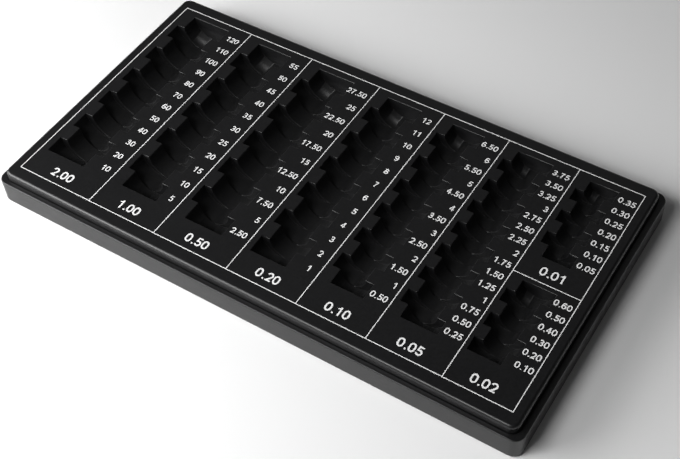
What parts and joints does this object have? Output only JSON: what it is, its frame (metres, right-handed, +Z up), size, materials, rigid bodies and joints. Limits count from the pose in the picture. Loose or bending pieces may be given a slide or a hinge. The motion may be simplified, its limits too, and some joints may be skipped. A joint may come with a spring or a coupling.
{
  "type": "manual coin counting tray",
  "caption": "Low rectangular counting tray: a moulded board whose half-round channels have staggered pockets for equal stacks of coins on edge, seated in a shallow base on rubber feet.",
  "frame": {"origin": "middle of the plane that the feet stand on", "axes": "+X along the row of channels, from the largest coin to the smallest; +Y from the front, where the big labels are, to the back; +Z up"},
  "size_m": [0.3352, 0.1814, 0.0216],
  "materials": {
    "board_plastic": "black, fine spark-eroded grain",
    "base_plastic": "black, fine spark-eroded grain",
    "foot_rubber": "dull black rubber",
    "screw_steel": "zinc plated steel"
  },
  "bodies": {
    "root": {"counting_board": "board_plastic", "base": "base_plastic", "foot_front_left": "foot_rubber", "foot_front_right": "foot_rubber", "foot_back_left": "foot_rubber", "foot_back_right": "foot_rubber", "case_screws": "screw_steel"}
  },
  "joints": []
}
